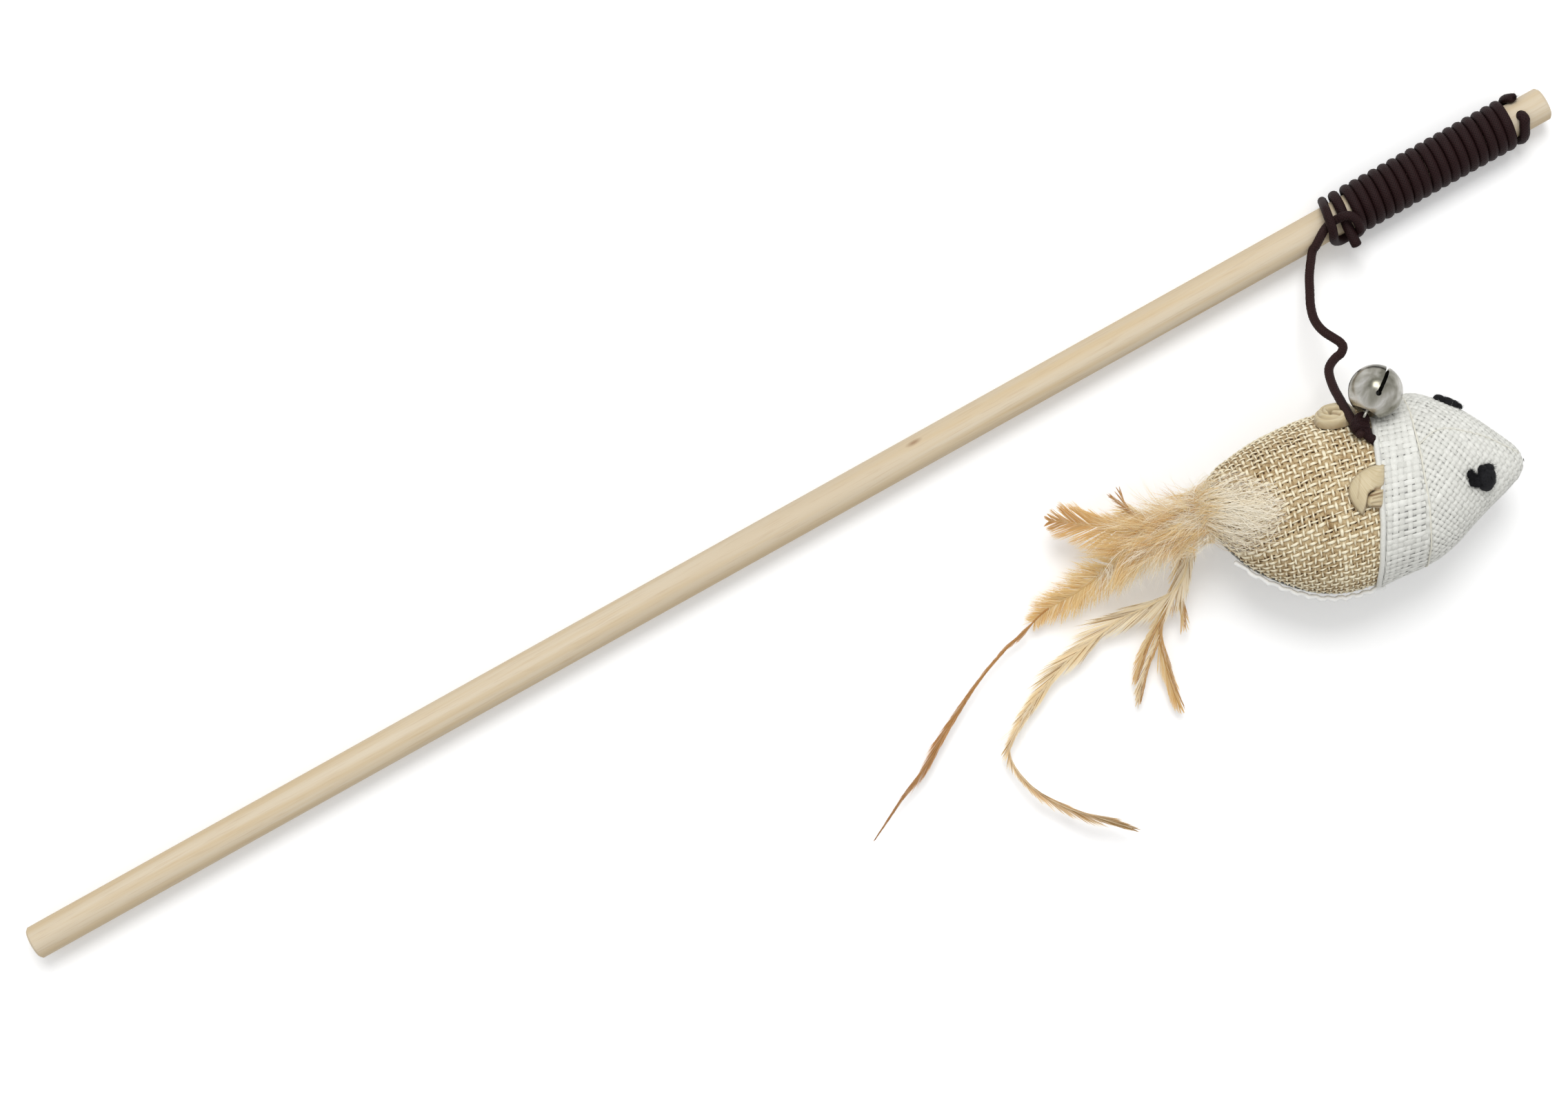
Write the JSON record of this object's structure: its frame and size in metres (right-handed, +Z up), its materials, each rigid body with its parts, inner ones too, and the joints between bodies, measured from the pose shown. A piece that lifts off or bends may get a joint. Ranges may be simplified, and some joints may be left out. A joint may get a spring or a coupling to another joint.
{
  "type": "cat teaser wand",
  "caption": "Cat teaser wand: a wooden dowel with a wound dark cord, a stuffed burlap mouse tied to its end, a jingle bell at the collar and a feather tail",
  "frame": {"origin": "the centre of the stick's handle end face", "axes": "+X along the stick from the handle end to the tip with the cord, +Z up from the surface that the wand lies on, the mouse lies on the -Y side"},
  "size_m": [0.4, 0.1064, 0.0396],
  "materials": {
    "wood": "sanded",
    "cord": "woven",
    "burlap": "coarse plain weave",
    "white_cloth": "open plain weave",
    "filling": "fibre",
    "ear_leaf": "folded raffia",
    "eye_yarn": "fuzzy yarn",
    "down": "loose down",
    "nickel": "bright",
    "steel": "plain",
    "pale_feather": "soft vane",
    "brown_feather": "soft vane"
  },
  "bodies": {
    "wand": {"stick": "wood", "cord_winding": "cord", "hitch_strand": "cord"},
    "tether_upper": {"upper_cord": "cord"},
    "tether_lower": {"lower_cord": "cord"},
    "mouse": {"tie_knot": "cord", "cord_stub": "cord", "body_skin": "burlap", "belly_panel": "white_cloth", "head_skin": "white_cloth", "collar_band": "white_cloth", "stuffing": "filling", "ear_near": "ear_leaf", "ear_far": "ear_leaf", "eye_near": "eye_yarn", "eye_far": "eye_yarn", "rump_fluff": "down"},
    "bell": {"bell_shell": "nickel", "bell_eye": "steel"},
    "pellet": {"bell_pellet": "steel"},
    "tail": {"plume": "pale_feather", "tuft_feather": "brown_feather", "hackle_feather": "brown_feather", "foxtail_feather": "pale_feather", "curled_feather": "brown_feather", "split_feather": "brown_feather"}
  },
  "joints": [
    {"name": "tether_dangle", "type": "hinge", "parent": "wand", "child": "tether_upper", "pos_m": [0.336, -0.0046, 0.0022], "axis": [1, 0, 0], "range_deg": [-60, 105], "deforming": ["upper_cord"]},
    {"name": "tether_sway", "type": "hinge", "parent": "tether_upper", "child": "tether_lower", "pos_m": [0.3293, -0.0256, 0.0125], "axis": [0, 0, 1], "range_deg": [-10, 40], "deforming": ["lower_cord"]},
    {"name": "mouse_spin", "type": "hinge", "parent": "tether_lower", "child": "mouse", "pos_m": [0.32117, -0.0437, 0.02716], "axis": [-0.0908, -0.7568, 0.6474], "range_deg": [-120, 120]},
    {"name": "bell_swing", "type": "hinge", "parent": "mouse", "child": "bell", "pos_m": [0.32407, -0.04171, 0.02691], "axis": [0.5664, -0.8241, 0], "range_deg": [0, 60]},
    {"name": "pellet_rattle", "type": "slide", "parent": "bell", "child": "pellet", "axis": [0, 0, 1], "range_m": [0, 0.0081]},
    {"name": "tail_sway", "type": "hinge", "parent": "mouse", "child": "tail", "pos_m": [0.2843, -0.0442, 0.012], "axis": [0, 0, 1], "range_deg": [-8, 12], "stiffness_Nm_per_rad": 0.002}
  ]
}
